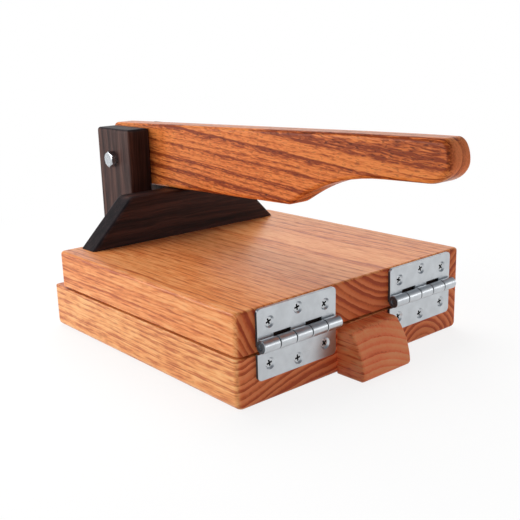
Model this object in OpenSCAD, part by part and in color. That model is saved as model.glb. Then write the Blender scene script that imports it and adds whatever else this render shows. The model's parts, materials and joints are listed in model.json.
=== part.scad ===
// Wooden tortilla press: two hinged oak boards, closed by a lever that pivots between two posts.
// The origin is the middle of the lower board's underside. The hinges are at the +X end, and their
// axis runs along Y. Everything is in millimetres, drawn closed with the lever down.

/* [Boards] */
// Width of both boards, along the hinge axis
board_w = 203.2; // [180:0.1:240]
// Length of the lower board
lower_l = 214.5; // [190:0.1:260]
// Thickness of the lower board
lower_t = 32.1; // [26:0.1:40]
// Thickness of the upper board
upper_t = 26.9; // [24:0.1:36]
// How far the lower board sticks out past the upper one, at the post end
ledge = 12.5; // [10:0.1:20]
// Space between the closed boards
seam_gap = 0.3; // [0.1:0.1:1]
// Radius of the boards' upright corners
board_corner_r = 3.5; // [1:0.5:8]
// Radius of the lower board's bottom edges
foot_edge_r = 4.5; // [1:0.5:8]
// Radius of the upper board's top edges
top_edge_r = 2; // [0.5:0.5:6]
// Radius of the edges along the seam
seam_edge_r = 1; // [0.5:0.5:4]

/* [Hinges] */
// Length of a hinge, along its axis
hinge_l = 63.5; // [50:0.5:75]
// Width of one leaf, from the axis
leaf_w = 21.65; // [20:0.05:24]
// Thickness of a leaf
leaf_t = 2; // [1.5:0.1:2.5]
// Radius of a leaf's outer corners
leaf_corner_r = 3; // [1:0.5:5]
// Outside diameter of the knuckles
barrel_d = 8; // [7.5:0.1:9]
// Diameter of the hinge pin
pin_d = 4; // [3:0.1:4.5]
// Diameter of the pin's round head
pin_head_d = 6.6; // [5:0.1:7.5]
// How far the pin's head stands out
pin_head_h = 1.4; // [0.8:0.1:3]
// How far the pin's plain end lies inside the barrel
pin_recess = 1; // [0.5:0.1:3]
// Distance from a board's side to the hinge
hinge_inset = 12.8; // [5:0.1:20]
// Distance from the upper board's top to the edge of the leaf
leaf_top_inset = 0.3; // [0.2:0.05:4]
// Distance between the two outer screws of a leaf
leaf_screw_span = 44.7; // [30:0.1:48]
// Distance from the axis to the outer screws
outer_screw_out = 12.55; // [11:0.05:14]
// Distance from the axis to the middle screw
middle_screw_out = 15.75; // [12:0.05:17]

/* [Screws and dowels] */
// Head diameter of a hinge screw
hinge_screw_head_d = 7.4; // [6:0.1:8]
// Shank diameter of a hinge screw
hinge_screw_d = 4; // [3:0.1:4.5]
// Length of a hinge screw
hinge_screw_l = 25; // [15:1:40]
// Head diameter of a post screw
post_screw_head_d = 9.4; // [8:0.1:12]
// Shank diameter of a post screw
post_screw_d = 5; // [4:0.1:6]
// Length of a post screw
post_screw_l = 82; // [65:1:110]
// Diameter of the dowels
dowel_d = 8; // [6:0.1:10]
// Length of the dowels
dowel_l = 26; // [16:1:30]
// Least wood left beyond the end of a dowel
dowel_cover = 5; // [3:0.5:8]

/* [Stop block] */
// How far the stop block stands out from the hinge end
stop_depth = 23; // [17:0.1:28]
// Radius of the stop block's curved front
stop_front_r = 44; // [38:0.5:80]
// Distance from the lower board's top down to the stop block's top
stop_drop = 1; // [0.3:0.1:4]
// Height of the stop block's underside above the table
stop_lift = 0.2; // [0:0.1:5]
// Radius of the stop block's front corners
stop_corner_r = 1.5; // [1:0.5:9]
// Distance between the stop block and each hinge
stop_side_gap = 3.2; // [1:0.1:8]

/* [Bearing bar] */
// Thickness of the bearing bar
bar_t = 18.6; // [14:0.1:24]
// Height of the bearing bar
bar_h = 34.8; // [28:0.1:42]
// Length of the bearing bar at its foot
bar_foot_l = 173; // [140:0.1:178]
// Length of the bearing bar at its top
bar_top_l = 108.5; // [90:0.1:125]
// Distance from the upper board's far end to the bearing bar
bar_inset = 4.6; // [1:0.1:8]

/* [Posts] */
// Width of a post, along the press
post_w = 46.9; // [40:0.1:60]
// Thickness of a post, along the hinge axis
post_t = 19.6; // [14:0.1:26]
// Height of a post above the pivot
post_above_pivot = 24; // [18:0.1:30]
// Distance from a post's inner end face to the pivot
pivot_set_back = 23.4; // [20:0.1:28]
// Radius of a post's edges
post_edge_r = 2; // [1:0.5:6]

/* [Lever] */
// Thickness of the lever
lever_t = 19; // [14:0.1:26]
// Length of the lever from the pivot to the tip of the handle
lever_l = 310; // [280:0.5:360]
// Length of the lever behind the pivot
heel_l = 29.7; // [18:0.1:34]
// Depth of the lever below the pivot
lever_below = 21.9; // [18:0.05:26]
// Depth of the lever above the pivot
lever_above = 26.7; // [18:0.1:30]
// Depth of the handle
handle_depth = 25.4; // [18:0.1:30]
// Length of the handle's straight underside and round tip
handle_l = 48.5; // [40:0.5:80]
// Length of the curve between the lever's deep part and the handle
ogee_l = 81.5; // [50:0.5:100]
// How far the top of the handle falls towards its tip
handle_fall = 0.4; // [0:0.1:5]
// Length over which the top of the lever falls
taper_l = 80; // [60:1:200]
// Length of the round at the top of the handle's tip
tip_top_l = 7.5; // [6:0.5:24]
// Length of the round at the bottom of the handle's tip
tip_bottom_l = 17.5; // [10:0.5:30]
// Radius of the lever's back corners
heel_corner_r = 5; // [1:0.5:10]
// Upward tilt of the closed lever, in degrees
lever_tilt = 1.7; // [0:0.1:4]
// Space between the lever and the bearing bar
lever_rest_gap = 0.3; // [0.2:0.1:1]
// Space between the lever and each post
lever_side_gap = 0.3; // [0.2:0.1:1]

/* [Pivot] */
// Diameter of the pivot bolt
bolt_d = 6.35; // [5:0.05:8]
// Width of the bolt head and the nut across their flats
hex_across = 11.1; // [9:0.1:14]
// Height of the bolt head
bolt_head_h = 5.2; // [3:0.1:6]
// Height of the nut
nut_h = 5.6; // [4:0.1:8]
// Outside diameter of the washer
washer_d = 16; // [13:0.1:20]
// Thickness of the washer
washer_t = 1.6; // [1:0.1:2.5]
// Length of bolt past the nut
bolt_past_nut = 3; // [1:0.1:8]

/* [Fits] */
// Radial clearance where a piece turns
running_fit = 0.06; // [0.02:0.01:0.1]
// Clearance round a fixed screw, dowel, bolt or pin
seat_fit = 0.03; // [0.01:0.01:0.1]
// Space between neighbouring knuckles
knuckle_gap = 0.4; // [0.2:0.1:0.8]
// Space between a knuckle and the board behind it
barrel_gap = 0.3; // [0.2:0.1:1]
// Space round the other leaf's knuckles
slot_gap = 1.2; // [0.5:0.1:2]

/* [Hidden] */
$fn = 64;

// Sides of the press, along Y
LEFT = -1;
RIGHT = 1;
// Overshoot of a cutter, so that it passes clean through
eps = 1;
// Points along one curve of an outline
curve_steps = 16;

// Planes and levels
hinge_end_x = lower_l / 2;
post_end_x = -lower_l / 2;
upper_far_x = post_end_x + ledge;
upper_l = hinge_end_x - upper_far_x;
upper_bottom_z = lower_t + seam_gap;
upper_top_z = upper_bottom_z + upper_t;
bar_far_x = upper_far_x + bar_inset;
bar_mid_x = bar_far_x + bar_t / 2;
bar_top_z = upper_top_z + bar_h;

// Hinges
barrel_r = barrel_d / 2;
knuckle_count = 5;
knuckle_pitch = hinge_l / knuckle_count;
upper_knuckles = [0, 2, 4];
lower_knuckles = [1, 3];
axis_x = hinge_end_x + barrel_r + barrel_gap;
axis_z = upper_top_z - leaf_top_inset - leaf_w;
hinge_y = board_w / 2 - hinge_inset - hinge_l / 2;
hinge_inner_y = hinge_y - hinge_l / 2;

// Stop block
stop_w = 2 * (hinge_inner_y - stop_side_gap);
stop_h = lower_t - stop_drop - stop_lift;
stop_dowel_y = stop_w / 4;
stop_dowel_z = stop_lift + stop_h / 2;
stop_dowel_in = min(dowel_l / 2, stop_depth - dowel_cover);

// Bearing bar
bar_dowel_y = bar_top_l / 3;
bar_dowel_in = min(dowel_l / 2, upper_t - dowel_cover);

// Posts and pivot
post_inner_y = lever_t / 2 + lever_side_gap;
post_outer_y = post_inner_y + post_t;
pivot_x = post_end_x - pivot_set_back;
lever_underside_offset = lever_below / cos(lever_tilt);
bar_arm = bar_far_x - pivot_x;
pivot_z = bar_top_z + lever_rest_gap + lever_underside_offset - bar_arm * tan(lever_tilt);
post_top_z = pivot_z + post_above_pivot;
post_outer_x = post_end_x - post_w;
post_screw_levels = [lower_t * 0.28, lower_t * 0.72];
bolt_l = 2 * post_outer_y + washer_t + nut_h + bolt_past_nut;

// Lever outline, from the pivot, with X along the lever
handle_top = lever_above - handle_fall;
handle_bottom = handle_top - handle_depth;
ogee_end = lever_l - handle_l;
ogee_start = ogee_end - ogee_l;
// How far the ogee's level ends reach along it, which makes its lower bend tight and its upper bend easy
ogee_low_reach = ogee_l * 0.08;
ogee_high_reach = ogee_l * 0.64;
// Handle length that makes a cubic curve a quarter of an ellipse
quarter_round = 0.5523;

// Colours
oak = [0.78, 0.49, 0.28];
lever_oak = [0.74, 0.42, 0.2];
walnut = [0.16, 0.11, 0.09];
hinge_steel = [0.7, 0.72, 0.74];
bolt_steel = [0.76, 0.79, 0.82];
dowel_wood = [0.86, 0.72, 0.52];

// A point on a cubic curve with end points a and d and handles b and c
function curve_point(a, b, c, d, t) =
  a * pow(1 - t, 3) + 3 * b * t * pow(1 - t, 2) + 3 * c * t * t * (1 - t) + d * pow(t, 3);

// The points of a cubic curve after its first one
function curve(a, b, c, d) =
  [for (i = [1:curve_steps]) curve_point(a, b, c, d, i / curve_steps)];

// The points of a circle's arc
function arc(centre, r, from, to) =
  [for (i = [0:curve_steps])
    let (angle = from + (to - from) * i / curve_steps)
    centre + r * [cos(angle), sin(angle)]];

// A rectangle on the origin with round corners
module rounded_rectangle(l, w, r) {
  square([l - 2 * r, w], center = true);
  square([l, w - 2 * r], center = true);
  for (x = [-1, 1], y = [-1, 1])
    translate([x * (l / 2 - r), y * (w / 2 - r)])
      circle(r);
}

// A rectangle standing on the X axis, with its own radius for the top and the bottom corners
module edge_profile(w, h, top_r, bottom_r) {
  translate([-w / 2, bottom_r])
    square([w, h - top_r - bottom_r]);
  translate([-w / 2 + bottom_r, 0])
    square([w - 2 * bottom_r, h / 2]);
  translate([-w / 2 + top_r, h / 2])
    square([w - 2 * top_r, h / 2]);
  for (side = [-1, 1]) {
    translate([side * (w / 2 - bottom_r), bottom_r])
      circle(bottom_r);
    translate([side * (w / 2 - top_r), h - top_r])
      circle(top_r);
  }
}

// A block standing on the origin with rounded corners and edges
module eased_block(l, w, h, corner_r, top_r, bottom_r) {
  intersection() {
    linear_extrude(h)
      rounded_rectangle(l, w, corner_r);
    rotate([90, 0, 0])
      linear_extrude(w, center = true)
        edge_profile(l, h, top_r, bottom_r);
    rotate([90, 0, 90])
      linear_extrude(l, center = true)
        edge_profile(w, h, top_r, bottom_r);
  }
}

// A cylinder along X from the origin
module rod_x(d, l) {
  rotate([0, 90, 0])
    cylinder(d = d, h = l);
}

// A cylinder along Y from the origin
module rod_y(d, l) {
  rotate([-90, 0, 0])
    cylinder(d = d, h = l);
}

// A countersunk Phillips screw along -X, with the top of its head at the origin
module wood_screw(head_d, shank_d, l) {
  head_h = (head_d - shank_d) / 2;
  tip_h = shank_d * 1.2;
  recess_l = head_d * 0.56;
  recess_w = head_d * 0.14;
  recess_h = head_h * 0.7;
  difference() {
    rotate([0, -90, 0]) {
      cylinder(d1 = head_d, d2 = shank_d, h = head_h);
      translate([0, 0, head_h])
        cylinder(d = shank_d, h = l - head_h - tip_h);
      translate([0, 0, l - tip_h])
        cylinder(d1 = shank_d, d2 = shank_d / 8, h = tip_h);
    }
    for (turn = [0, 90])
      rotate([turn, 0, 0])
        translate([-recess_h, -recess_l / 2, -recess_w / 2])
          cube([recess_h + eps, recess_l, recess_w]);
  }
}

// The countersunk hole that a screw along -X needs, from the top of its head
module screw_hole(head_d, shank_d, l) {
  head_h = (head_d - shank_d) / 2;
  rotate([0, -90, 0]) {
    cylinder(d1 = head_d + 2 * seat_fit, d2 = shank_d + 2 * seat_fit, h = head_h);
    cylinder(d = shank_d + 2 * seat_fit, h = l + seat_fit);
  }
  rod_x(head_d + 2 * seat_fit, eps);
}

// Puts its children at each screw of a leaf. The leaf runs up from the axis for 1, down for -1
module at_leaf_screws(side, up) {
  for (k = [-1, 0, 1])
    translate([
      hinge_end_x + leaf_t,
      side * hinge_y + k * leaf_screw_span / 2,
      axis_z + up * (k == 0 ? middle_screw_out : outer_screw_out)
    ])
      children();
}

// Holes for the screws of both hinges' leaves on one board
module leaf_screw_holes(up) {
  for (side = [LEFT, RIGHT])
    at_leaf_screws(side, up)
      screw_hole(hinge_screw_head_d, hinge_screw_d, hinge_screw_l);
}

// Puts its children at each screw of a post
module at_post_screws(side) {
  for (z = post_screw_levels)
    translate([post_outer_x, side * (post_inner_y + post_t / 2), z])
      rotate([0, 0, 180])
        children();
}

// Puts its children at each dowel of the stop block
module at_stop_dowels() {
  for (side = [LEFT, RIGHT])
    translate([hinge_end_x, side * stop_dowel_y, stop_dowel_z])
      children();
}

// Puts its children at each dowel of the bearing bar
module at_bar_dowels() {
  for (k = [-1, 0, 1])
    translate([bar_mid_x, k * bar_dowel_y, upper_top_z])
      children();
}

module stop_dowel(extra) {
  translate([-dowel_l + stop_dowel_in - extra, 0, 0])
    rod_x(dowel_d + 2 * extra, dowel_l + 2 * extra);
}

module bar_dowel(extra) {
  translate([0, 0, -bar_dowel_in - extra])
    cylinder(d = dowel_d + 2 * extra, h = dowel_l + 2 * extra);
}

module lower_board() {
  color(oak)
    difference() {
      eased_block(lower_l, board_w, lower_t, board_corner_r, seam_edge_r, foot_edge_r);
      leaf_screw_holes(-1);
      at_stop_dowels()
        stop_dowel(seat_fit);
      for (side = [LEFT, RIGHT])
        at_post_screws(side)
          screw_hole(post_screw_head_d, post_screw_d, post_screw_l);
    }
}

module stop_block() {
  color(oak)
    difference() {
      intersection() {
        translate([hinge_end_x, 0, stop_lift])
          linear_extrude(stop_h)
            intersection() {
              rounded_rectangle(2 * stop_depth, stop_w, stop_corner_r);
              translate([0, -stop_w / 2])
                square([stop_depth, stop_w]);
            }
        translate([hinge_end_x + stop_depth - stop_front_r, 0, stop_lift])
          rotate([90, 0, 0])
            cylinder(r = stop_front_r, h = stop_w + 2 * eps, center = true);
      }
      at_stop_dowels()
        stop_dowel(seat_fit);
    }
}

module stop_block_dowels() {
  color(dowel_wood)
    at_stop_dowels()
      stop_dowel(0);
}

module post(side) {
  color(walnut)
    difference() {
      translate([post_end_x - post_w / 2, side * (post_inner_y + post_t / 2), 0])
        eased_block(post_w, post_t, post_top_z, post_edge_r, post_edge_r, post_edge_r / 2);
      translate([pivot_x, -post_outer_y - eps, pivot_z])
        rod_y(bolt_d + 2 * seat_fit, 2 * post_outer_y + 2 * eps);
      at_post_screws(side)
        screw_hole(post_screw_head_d, post_screw_d, post_screw_l);
    }
}

module left_post() {
  post(LEFT);
}

module right_post() {
  post(RIGHT);
}

module post_screws(side) {
  color(bolt_steel)
    at_post_screws(side)
      wood_screw(post_screw_head_d, post_screw_d, post_screw_l);
}

module left_post_screws() {
  post_screws(LEFT);
}

module right_post_screws() {
  post_screws(RIGHT);
}

module upper_board() {
  color(oak)
    difference() {
      translate([(hinge_end_x + upper_far_x) / 2, 0, upper_bottom_z])
        eased_block(upper_l, board_w, upper_t, board_corner_r, top_edge_r, seam_edge_r);
      leaf_screw_holes(1);
      at_bar_dowels()
        bar_dowel(seat_fit);
    }
}

module bearing_bar() {
  color(walnut)
    difference() {
      translate([bar_mid_x, 0, upper_top_z])
        rotate([90, 0, 90])
          linear_extrude(bar_t, center = true)
            polygon([
              [-bar_foot_l / 2, 0],
              [bar_foot_l / 2, 0],
              [bar_top_l / 2, bar_h],
              [-bar_top_l / 2, bar_h]
            ]);
      at_bar_dowels()
        bar_dowel(seat_fit);
    }
}

module bearing_bar_dowels() {
  color(dowel_wood)
    at_bar_dowels()
      bar_dowel(0);
}

// Side view of the lever, from the pivot, with its underside level
module lever_outline() {
  tip = [lever_l, handle_bottom + handle_depth / 2];
  tip_half = [0, handle_depth / 2];
  handle_low_end = [lever_l - tip_bottom_l, handle_bottom];
  handle_high_end = [lever_l - tip_top_l, handle_top];
  taper_start = handle_high_end + [-taper_l, handle_fall];
  polygon(concat(
    arc([-heel_l + heel_corner_r, -lever_below + heel_corner_r], heel_corner_r, 180, 270),
    [[ogee_start, -lever_below]],
    curve(
      [ogee_start, -lever_below],
      [ogee_start + ogee_low_reach, -lever_below],
      [ogee_end - ogee_high_reach, handle_bottom],
      [ogee_end, handle_bottom]),
    [handle_low_end],
    curve(
      handle_low_end,
      handle_low_end + quarter_round * [tip_bottom_l, 0],
      tip - quarter_round * tip_half,
      tip),
    curve(
      tip,
      tip + quarter_round * tip_half,
      handle_high_end + quarter_round * [tip_top_l, 0],
      handle_high_end),
    curve(
      handle_high_end,
      handle_high_end + [-taper_l / 3, handle_fall / 2],
      taper_start + [taper_l / 3, 0],
      taper_start),
    arc([-heel_l + heel_corner_r, lever_above - heel_corner_r], heel_corner_r, 90, 180)
  ));
}

module lever() {
  color(lever_oak)
    translate([pivot_x, 0, pivot_z])
      rotate([0, -lever_tilt, 0])
        difference() {
          rotate([90, 0, 0])
            linear_extrude(lever_t, center = true)
              lever_outline();
          translate([0, -lever_t / 2 - eps, 0])
            rod_y(bolt_d + 2 * running_fit, lever_t + 2 * eps);
        }
}

// A hexagonal prism along Y from the origin, with two flats level
module hex_y(h) {
  rotate([-90, 0, 0])
    cylinder(d = hex_across / cos(30), h = h, $fn = 6);
}

module pivot_bolt() {
  color(bolt_steel)
    translate([pivot_x, -post_outer_y, pivot_z]) {
      rotate([0, 30, 0])
        translate([0, -bolt_head_h, 0])
          hex_y(bolt_head_h);
      rod_y(bolt_d, bolt_l);
    }
}

module pivot_washer() {
  color(bolt_steel)
    translate([pivot_x, post_outer_y, pivot_z])
      difference() {
        rod_y(washer_d, washer_t);
        translate([0, -eps, 0])
          rod_y(bolt_d + 2 * seat_fit, washer_t + 2 * eps);
      }
}

module pivot_nut() {
  color(bolt_steel)
    translate([pivot_x, post_outer_y + washer_t, pivot_z])
      difference() {
        hex_y(nut_h);
        translate([0, -eps, 0])
          rod_y(bolt_d + 2 * seat_fit, nut_h + 2 * eps);
      }
}

// Start of a knuckle along the hinge, from the hinge's middle
function knuckle_start(i) = -hinge_l / 2 + i * knuckle_pitch;

// A leaf with its knuckles. It runs up from the axis for 1, down for -1
module hinge_leaf(side, up, own, others, bore_clearance) {
  leaf_back = -barrel_r - barrel_gap;
  slot_depth = barrel_r + slot_gap;
  color(hinge_steel)
    difference() {
      translate([axis_x, side * hinge_y, axis_z])
        mirror([0, 0, up < 0 ? 1 : 0])
          difference() {
            union() {
              difference() {
                translate([leaf_back, 0, 0])
                  rotate([90, 0, 90])
                    linear_extrude(leaf_t)
                      intersection() {
                        rounded_rectangle(hinge_l, 2 * leaf_w, leaf_corner_r);
                        translate([-hinge_l / 2, 0])
                          square([hinge_l, leaf_w]);
                      }
                for (i = others)
                  translate([leaf_back - eps, knuckle_start(i) - knuckle_gap / 2, -eps])
                    cube([leaf_t + 2 * eps, knuckle_pitch + knuckle_gap, slot_depth + eps]);
              }
              for (i = own)
                translate([0, knuckle_start(i) + knuckle_gap / 2, 0])
                  rod_y(barrel_d, knuckle_pitch - knuckle_gap);
            }
            translate([0, -hinge_l / 2 - eps, 0])
              rod_y(pin_d + 2 * bore_clearance, hinge_l + 2 * eps);
          }
      at_leaf_screws(side, up)
        screw_hole(hinge_screw_head_d, hinge_screw_d, hinge_screw_l);
    }
}

module upper_leaf(side) {
  hinge_leaf(side, 1, upper_knuckles, lower_knuckles, seat_fit);
}

module lower_leaf(side) {
  hinge_leaf(side, -1, lower_knuckles, upper_knuckles, running_fit);
}

// A pin with a low round head at its right end
module hinge_pin(side) {
  head_r = (pow(pin_head_d / 2, 2) + pow(pin_head_h, 2)) / (2 * pin_head_h);
  barrel_end = hinge_l / 2 - knuckle_gap / 2;
  color(hinge_steel)
    translate([axis_x, side * hinge_y, axis_z]) {
      translate([0, -barrel_end + pin_recess, 0])
        rod_y(pin_d, 2 * barrel_end - pin_recess);
      translate([0, barrel_end, 0])
        intersection() {
          translate([0, pin_head_h - head_r, 0])
            sphere(head_r);
          rod_y(pin_head_d, pin_head_h);
        }
    }
}

module leaf_screws(side, up) {
  color(bolt_steel)
    at_leaf_screws(side, up)
      wood_screw(hinge_screw_head_d, hinge_screw_d, hinge_screw_l);
}

module left_hinge_upper_leaf() {
  upper_leaf(LEFT);
}

module left_hinge_lower_leaf() {
  lower_leaf(LEFT);
}

module left_hinge_pin() {
  hinge_pin(LEFT);
}

module right_hinge_upper_leaf() {
  upper_leaf(RIGHT);
}

module right_hinge_lower_leaf() {
  lower_leaf(RIGHT);
}

module right_hinge_pin() {
  hinge_pin(RIGHT);
}

module left_upper_leaf_screws() {
  leaf_screws(LEFT, 1);
}

module left_lower_leaf_screws() {
  leaf_screws(LEFT, -1);
}

module right_upper_leaf_screws() {
  leaf_screws(RIGHT, 1);
}

module right_lower_leaf_screws() {
  leaf_screws(RIGHT, -1);
}

lower_board();
stop_block();
stop_block_dowels();
left_post();
right_post();
left_post_screws();
right_post_screws();
upper_board();
bearing_bar();
bearing_bar_dowels();
lever();
pivot_bolt();
pivot_washer();
pivot_nut();
left_hinge_upper_leaf();
left_hinge_lower_leaf();
left_hinge_pin();
right_hinge_upper_leaf();
right_hinge_lower_leaf();
right_hinge_pin();
left_upper_leaf_screws();
left_lower_leaf_screws();
right_upper_leaf_screws();
right_lower_leaf_screws();
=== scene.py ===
# Looks of a wooden tortilla press: oiled oak boards and lever, dark walnut posts and bar, steel hinges.
# All in metres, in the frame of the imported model: +Z up, hinges at the +X end, hinge axis along Y.
import json
import math
import random

import bmesh
import bpy
from mathutils import Matrix, Vector


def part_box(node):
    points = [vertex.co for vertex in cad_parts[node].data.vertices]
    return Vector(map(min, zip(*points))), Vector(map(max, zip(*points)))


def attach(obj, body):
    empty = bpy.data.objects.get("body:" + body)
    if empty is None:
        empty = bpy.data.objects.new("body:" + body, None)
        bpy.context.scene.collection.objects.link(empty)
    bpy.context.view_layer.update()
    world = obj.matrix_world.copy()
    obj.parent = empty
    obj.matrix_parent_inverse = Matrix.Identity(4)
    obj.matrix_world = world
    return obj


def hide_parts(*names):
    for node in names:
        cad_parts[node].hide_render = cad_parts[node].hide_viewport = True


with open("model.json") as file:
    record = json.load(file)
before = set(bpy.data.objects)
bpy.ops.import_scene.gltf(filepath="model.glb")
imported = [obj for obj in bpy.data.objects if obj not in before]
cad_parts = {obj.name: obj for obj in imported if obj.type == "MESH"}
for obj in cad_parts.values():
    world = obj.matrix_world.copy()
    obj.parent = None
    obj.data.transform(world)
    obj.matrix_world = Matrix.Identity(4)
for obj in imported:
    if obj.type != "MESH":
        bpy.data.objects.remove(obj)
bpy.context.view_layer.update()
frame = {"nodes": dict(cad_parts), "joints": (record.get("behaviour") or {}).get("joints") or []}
scene = bpy.context.scene
MM = 0.001

# Camera, fitted to the photograph: eye in metres, angles in degrees, focal length in picture widths
EYE = Vector((0.432685, -0.36482, 0.202406))
AZIMUTH, ELEVATION, ROLL = 49.161, 15.094, -1.507
FOCAL_WIDTHS = 809.448 / 520
SENSOR_MM = 36

# Rounded edges
LEAST_R = 0.15 * MM
BOARD_CORNER_R = 3.5 * MM
NEAR_CORNER_R = 5 * MM
FOOT_EDGE_R = 4.5 * MM
SEAM_EDGE_R = 0.7 * MM
SEAM_RELIEF = 0.6 * MM
TOP_EDGE_R = 2.2 * MM
POST_OUTER_R = 3 * MM
POST_INNER_R = 1.4 * MM
POST_TOP_R = 2.4 * MM
BAR_CORNER_R = 2.6 * MM
BAR_TOP_R = 2.4 * MM
BLOCK_EDGE_R = 1.5 * MM
BLOCK_FOOT_R = 4 * MM
BLOCK_TOP_R = 5 * MM
LEVER_EDGE_R = 2.8 * MM
TIP_EDGE_R = 4.2 * MM
TIP_EDGE_L = 30 * MM
CORNER_STEPS = 6
EDGE_STEPS = 6
SMOOTH_ANGLE = math.radians(35)

# Hinges and bolt, the bores' play, and the count of points round a circle
LEAF_CORNER_R = 3 * MM
LEAF_EDGE_R = 0.3 * MM
KNUCKLES = 5
KNUCKLE_GAP = 0.6 * MM
KNUCKLE_EDGE_R = 0.5 * MM
SLOT_GAP = 1.2 * MM
PIN_R = 2 * MM
PIN_CHAMFER = 0.3 * MM
PIN_HEAD_H = 1.4 * MM
BOLT_R = 3.175 * MM
BOLT_PITCH = 1.27 * MM
BOLT_THREAD_L = 22 * MM
BOLT_CHAMFER_H = 0.5 * MM
BOLT_THREAD_START = 0.6 * MM
BOLT_RUN_OUT = 0.4 * MM
BOLT_END_SHARE = 0.7
BOLT_START_SHARE = 0.86
BOLT_CORE_SHARE = 0.82
DISH_RIM = 0.3 * MM
DISH_SHARE = 0.55
DISH_DEPTH = 0.12 * MM
HEX_FLAT_SHARE = 0.46
HEX_CHAMFER_SLOPE = 0.58
WASHER_EDGE_R = 0.3 * MM
LEVER_BORE_R = 3.235 * MM
BORE_CLEARANCE = 0.03 * MM
ROUND = 48

# Screws: the head's rim, then the shank as a share of the head's radius, the neck as a share of the length,
# the point and core as shares of the shank's radius, and the point's length and pitch in thread widths
SCREW_SINK = 1.0 * MM
SCREW_RIM = 0.3 * MM
RIM_EDGE_W = 0.2 * MM
RIM_EDGE_H = 0.1 * MM
SHANK_SHARE = 0.54
NECK_SHARE = 0.35
BLUNT_SHARE = 0.12
CORE_SHARE = 0.66
POINT_SHARE = 1.4
PITCH_SHARE = 0.42

# The screws' cross recess as shares of the rim's radius, its floor as shares of its mouth, and the share of
# a wing within which its faces are found and painted dark as shade
WING_SHARE = 0.78
HALF_SHARE = 0.22
RECESS_SHARE = 0.6
FLOOR_WING_SHARE = 0.4
FLOOR_HALF_SHARE = 0.6
RECESS_REACH = 0.9

# Painted shade in the slots behind the hinge barrels, from the underside of the barrel
SLOT_SHADE_START = 3 * MM
SLOT_SHADE_END = 11 * MM
SLOT_SHADE_DEPTH = 1 * MM
SLOT_SHADE_EDGE = 0.4 * MM


# Points and rings

def rounded_rectangle(x0, x1, y0, y1, radii):
    """Points round a rectangle, with a radius for the corners x1 y0, x1 y1, x0 y1 and x0 y0"""
    points = []
    for sign_x, sign_y, start, r in zip((1, 1, -1, -1), (-1, 1, 1, -1), (-90, 0, 90, 180), radii):
        centre_x = (x1 if sign_x > 0 else x0) - sign_x * r
        centre_y = (y1 if sign_y > 0 else y0) - sign_y * r
        for k in range(CORNER_STEPS + 1):
            angle = math.radians(start + 90 * k / CORNER_STEPS)
            points.append((centre_x + r * math.cos(angle), centre_y + r * math.sin(angle)))
    return points


def edge_levels(start, end, start_r, end_r):
    """(level, inset) pairs along a side whose first and last edges are rounded"""
    turns = [math.pi / 2 * k / EDGE_STEPS for k in range(EDGE_STEPS + 1)]
    first = [(start + start_r * (1 - math.cos(a)), start_r * (1 - math.sin(a))) for a in turns]
    last = [(end - end_r * (1 - math.cos(a)), end_r * (1 - math.sin(a))) for a in reversed(turns)]
    return first + last


def inset_outline(points, inset):
    """A counter-clockwise outline of 2-D points, moved inwards"""
    moved = []
    for i, here in enumerate(points):
        before = (here - points[i - 1]).normalized()
        after = (points[(i + 1) % len(points)] - here).normalized()
        inwards = (before + after).normalized().orthogonal()
        if inwards.dot(before.orthogonal()) < 0:
            inwards.negate()
        moved.append(here + inwards * inset / inwards.dot(before.orthogonal()))
    return moved


def circle(r, z):
    """A ring of points round Z"""
    turns = [2 * math.pi * i / ROUND for i in range(ROUND)]
    return [(r * math.cos(a), r * math.sin(a), z) for a in turns]


def thread(core_r, crest_r, start, end, pitch):
    """Rings of a screw thread round Z, from one level up to another"""
    rows = max(2, int(6 * (end - start) / pitch))
    rings = []
    for row in range(rows + 1):
        z = start + (end - start) * row / rows
        ring = []
        for i in range(ROUND):
            turn = i / ROUND
            rise = 1 - abs(2 * ((z / pitch - turn) % 1) - 1)
            r = core_r + (crest_r - core_r) * rise
            ring.append((r * math.cos(2 * math.pi * turn), r * math.sin(2 * math.pi * turn), z))
        rings.append(ring)
    return rings


def hexagon(across, z, chamfer_from=None):
    """A ring round a hexagon, whose level falls away past the radius where its chamfer starts"""
    ring = []
    for i in range(ROUND):
        turn = 2 * math.pi * i / ROUND
        off_flat = (turn + math.pi / 6) % (math.pi / 3) - math.pi / 6
        r = across / 2 / math.cos(off_flat)
        fall = HEX_CHAMFER_SLOPE * max(0, r - chamfer_from) if chamfer_from else 0
        ring.append((r * math.cos(turn), r * math.sin(turn), z - fall))
    return ring


# Meshes

def loft(rings, closed=False):
    """A skin through rings with the same count of points, capped at both ends unless it closes on itself"""
    bm = bmesh.new()
    loops = [[bm.verts.new(point) for point in ring] for ring in rings]
    pairs = list(zip(loops, loops[1:]))
    if closed:
        pairs.append((loops[-1], loops[0]))
    else:
        bm.faces.new(loops[0])
        bm.faces.new(loops[-1])
    for low, high in pairs:
        for i in range(len(low)):
            bm.faces.new((low[i - 1], low[i], high[i], high[i - 1]))
    bmesh.ops.recalc_face_normals(bm, faces=bm.faces)
    return bm


def joined(*parts):
    """One bmesh that holds several"""
    whole = bmesh.new()
    for part in parts:
        mesh = bpy.data.meshes.new("part")
        part.to_mesh(mesh)
        part.free()
        whole.from_mesh(mesh)
        bpy.data.meshes.remove(mesh)
    return whole


def placed(bm, matrix):
    """A bmesh, moved"""
    bmesh.ops.transform(bm, matrix=matrix, verts=bm.verts)
    return bm


def plain_object(name, bm):
    """An object made from a bmesh, which is freed"""
    mesh = bpy.data.meshes.new(name)
    bm.to_mesh(mesh)
    bm.free()
    made = bpy.data.objects.new(name, mesh)
    scene.collection.objects.link(made)
    return made


def combine(obj, operation, *cutters):
    """Joins or cuts an object's mesh with closed bmeshes"""
    for bm in cutters:
        tool = plain_object("tool", bm)
        change = obj.modifiers.new("change", "BOOLEAN")
        change.operation = operation
        change.solver = "EXACT"
        change.object = tool
        bake_modifiers(obj)
        bpy.data.objects.remove(tool)


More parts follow.
